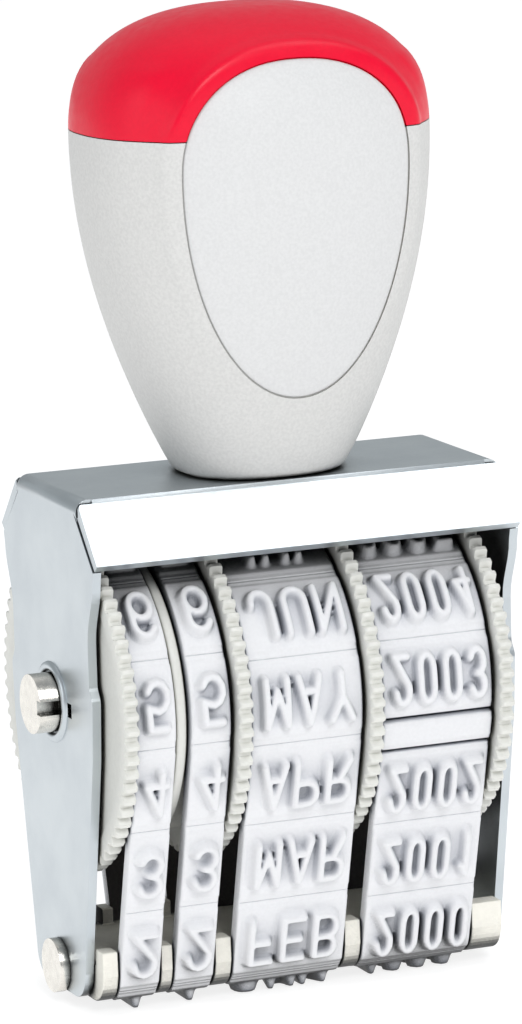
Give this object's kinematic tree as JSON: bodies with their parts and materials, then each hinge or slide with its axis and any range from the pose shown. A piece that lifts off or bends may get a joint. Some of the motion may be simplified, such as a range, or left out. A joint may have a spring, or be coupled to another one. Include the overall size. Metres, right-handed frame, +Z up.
{
  "type": "rotary date stamp",
  "caption": "Hand-held rotary date stamp with four rubber type bands on thumb wheels in a steel frame, and a rounded plastic handle.",
  "frame": {"origin": "bottom centre of the object, on the plane the raised type prints on", "axes": "+X along the wheel axle, to the right as the rows of type are read; -Y is the front; +Z is up through the handle"},
  "size_m": [0.0386, 0.0266, 0.0758],
  "materials": {
    "plated_steel": "satin nickel plating",
    "pin_steel": "bright nickel plating",
    "zinc_steel": "zinc plated",
    "wheel_plastic": "satin moulded",
    "platen_plastic": "satin moulded",
    "band_rubber": "matt moulded rubber",
    "handle_grey": "fine textured",
    "cap_red": "satin",
    "panel_grey": "fine textured"
  },
  "bodies": {
    "stamp": {"frame": "plated_steel", "axle": "pin_steel", "axle_clip": "zinc_steel", "thrust_washer": "zinc_steel", "axle_spacer": "zinc_steel", "platen": "platen_plastic", "platen_rivet": "pin_steel", "band_day_tens": "band_rubber", "band_day_units": "band_rubber", "band_month": "band_rubber", "band_year": "band_rubber", "handle_body": "handle_grey", "handle_cap": "cap_red", "front_panel": "panel_grey", "rear_panel": "panel_grey", "handle_screw": "zinc_steel", "screw_washer": "zinc_steel"},
    "day_tens": {"wheel_day_tens": "wheel_plastic"},
    "day_units": {"wheel_day_units": "wheel_plastic"},
    "month": {"wheel_month": "wheel_plastic"},
    "year": {"wheel_year": "wheel_plastic"}
  },
  "joints": [
    {"name": "day_tens_spin", "type": "hinge", "parent": "stamp", "child": "day_tens", "pos_m": [0, 0, 0.0234], "axis": [1, 0, 0], "continuous": true},
    {"name": "day_units_spin", "type": "hinge", "parent": "stamp", "child": "day_units", "pos_m": [0, 0, 0.0234], "axis": [1, 0, 0], "continuous": true},
    {"name": "month_spin", "type": "hinge", "parent": "stamp", "child": "month", "pos_m": [0, 0, 0.0234], "axis": [1, 0, 0], "continuous": true},
    {"name": "year_spin", "type": "hinge", "parent": "stamp", "child": "year", "pos_m": [0, 0, 0.0234], "axis": [1, 0, 0], "continuous": true}
  ]
}
